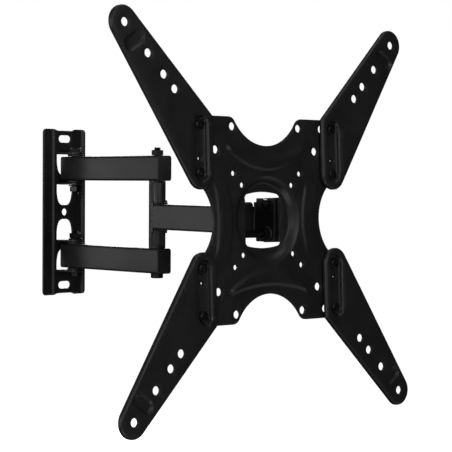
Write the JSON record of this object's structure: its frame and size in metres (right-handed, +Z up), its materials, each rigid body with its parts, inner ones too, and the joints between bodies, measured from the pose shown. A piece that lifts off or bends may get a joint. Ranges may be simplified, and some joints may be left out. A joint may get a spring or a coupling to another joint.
{
  "type": "full motion tv wall mount",
  "caption": "Full motion wall mount for a flat television: slotted wall plate, paired links, single outer arm, swivel and tilt head, dished bolt-pattern plate with splayed legs.",
  "frame": {"origin": "middle of the wall plate's back, on the wall's surface", "axes": "+Z up, +Y into the wall, -Y towards the television, +X to the right for someone looking at the wall"},
  "size_m": [0.4355, 0.4266, 0.4348],
  "materials": {
    "powder_coat": "satin black powder coat on pressed steel",
    "arm_coat": "semi-gloss black powder coat on rectangular steel tube",
    "fastener": "black zinc plated steel",
    "nylon": "moulded black nylon"
  },
  "bodies": {
    "wall": {"wall_plate": "powder_coat", "upper_pivot_bolt": "fastener", "upper_pivot_nut": "fastener", "upper_pivot_washer": "fastener", "upper_pivot_bush_outer": "nylon", "upper_pivot_bush_inner": "nylon", "lower_pivot_bolt": "fastener", "lower_pivot_nut": "fastener", "lower_pivot_washer": "fastener", "lower_pivot_bush_outer": "nylon", "lower_pivot_bush_inner": "nylon"},
    "links": {"upper_link": "arm_coat", "upper_link_wall_cap": "nylon", "upper_link_elbow_cap": "nylon", "lower_link": "arm_coat", "lower_link_wall_cap": "nylon", "lower_link_elbow_cap": "nylon", "elbow_bolt": "fastener", "elbow_nut": "fastener"},
    "arm": {"outer_arm": "arm_coat", "elbow_bush_upper": "nylon", "elbow_bush_lower": "nylon"},
    "head": {"swivel_bracket": "powder_coat", "swivel_bolt": "fastener", "swivel_nut": "fastener", "swivel_bush_upper": "nylon", "swivel_bush_lower": "nylon", "lock_bolt_right": "fastener", "lock_nut_right": "fastener", "lock_bolt_left": "fastener", "lock_nut_left": "fastener"},
    "plate": {"tilt_bolt": "fastener", "tilt_nut": "fastener", "tilt_inner_nut": "fastener", "tilt_bush_right": "nylon", "tilt_bush_left": "nylon", "vesa_plate": "powder_coat", "upper_right_leg": "powder_coat", "upper_right_inner_screw": "fastener", "upper_right_inner_nut": "fastener", "upper_right_outer_screw": "fastener", "upper_right_outer_nut": "fastener", "upper_left_leg": "powder_coat", "upper_left_inner_screw": "fastener", "upper_left_inner_nut": "fastener", "upper_left_outer_screw": "fastener", "upper_left_outer_nut": "fastener", "lower_right_leg": "powder_coat", "lower_right_inner_screw": "fastener", "lower_right_inner_nut": "fastener", "lower_right_outer_screw": "fastener", "lower_right_outer_nut": "fastener", "lower_left_leg": "powder_coat", "lower_left_inner_screw": "fastener", "lower_left_inner_nut": "fastener", "lower_left_outer_screw": "fastener", "lower_left_outer_nut": "fastener"}
  },
  "joints": [
    {"name": "wall_swivel", "type": "hinge", "parent": "wall", "child": "links", "pos_m": [0, -0.0254, 0], "axis": [0, 0, 1], "range_deg": [-86.2, 93.8]},
    {"name": "elbow_swivel", "type": "hinge", "parent": "links", "child": "arm", "pos_m": [-0.01067, -0.18605, 0], "axis": [0, 0, 1], "range_deg": [-65.9, 84.1]},
    {"name": "head_swivel", "type": "hinge", "parent": "arm", "child": "head", "pos_m": [-0.04639, -0.34201, -0.0025], "axis": [0, 0, 1], "range_deg": [-85.1, 64.9]},
    {"name": "head_tilt", "type": "hinge", "parent": "head", "child": "plate", "pos_m": [-0.04812, -0.37737, -0.0177], "axis": [0.9988, -0.0488, 0], "range_deg": [-2.5, 14.5]}
  ]
}
